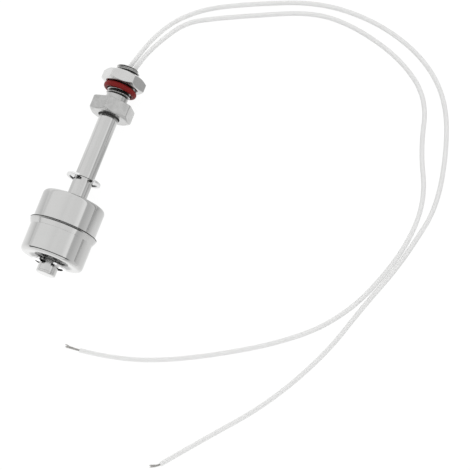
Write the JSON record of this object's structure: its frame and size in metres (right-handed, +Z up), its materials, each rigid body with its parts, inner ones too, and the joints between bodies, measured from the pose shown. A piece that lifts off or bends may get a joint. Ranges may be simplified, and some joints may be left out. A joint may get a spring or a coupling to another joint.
{
  "type": "float level switch",
  "caption": "Steel float level switch: magnetic float sliding on a stem between stop clips, threaded hexagon fitting with seal ring and lock nut, two loose wires.",
  "frame": {"origin": "on the surface that the switch lies on, below the middle of its length", "axes": "+Y along the stem towards the thread and the wires, which slopes down by 5 degrees; +Z up; the wires lie towards +X"},
  "size_m": [0.1509, 0.2037, 0.028],
  "materials": {
    "polished_steel": "polished",
    "float_steel": "polished",
    "turned_steel": "turned satin",
    "spring_steel": "satin",
    "red_rubber": "matte",
    "ferrite": "matte",
    "black_plastic": "matte",
    "clear_glass": "clear",
    "plated_lead": "plated",
    "shrink_sleeve": "matte",
    "solder": "satin",
    "sealing_compound": "glossy",
    "wire_insulation": "satin",
    "tinned_strand": "satin"
  },
  "bodies": {
    "stem": {"hex_fitting": "turned_steel", "stem_tube": "polished_steel", "end_plug": "polished_steel", "lower_stop_clip": "spring_steel", "upper_stop_clip": "spring_steel", "reed_glass": "clear_glass", "reed_lead_upper": "plated_lead", "reed_lead_lower": "plated_lead", "reed_sleeve": "shrink_sleeve", "solder_joint_upper": "solder", "solder_joint_lower": "solder", "inner_wire_1": "wire_insulation", "inner_wire_2": "wire_insulation", "potting": "sealing_compound", "wire_1": "wire_insulation", "wire_2": "wire_insulation", "wire_1_strands": "tinned_strand", "wire_2_strands": "tinned_strand"},
    "float": {"float_lower_shell": "float_steel", "float_upper_shell": "float_steel", "float_sleeve": "float_steel", "float_magnet": "ferrite", "magnet_collar_lower": "black_plastic", "magnet_collar_upper": "black_plastic"},
    "ring": {"seal_ring": "red_rubber"},
    "nut": {"lock_nut": "turned_steel"}
  },
  "joints": [
    {"name": "float_slide", "type": "slide", "parent": "stem", "child": "float", "axis": [0, 0.9962, -0.0876], "range_m": [-0.00075, 0.0087]},
    {"name": "ring_slide", "type": "slide", "parent": "stem", "child": "ring", "axis": [0, 0.9962, -0.0876], "range_m": [-0.00473, 0.00225]},
    {"name": "nut_turn", "type": "hinge", "parent": "ring", "child": "nut", "pos_m": [0, 0.04016, 0.00816], "axis": [0, 0.9962, -0.0876], "range_deg": [-1145.34, 545.4]}
  ],
  "couplings": [
    {"joint": "nut_turn", "follows": "ring_slide", "rad_per_m": 4188.8}
  ]
}
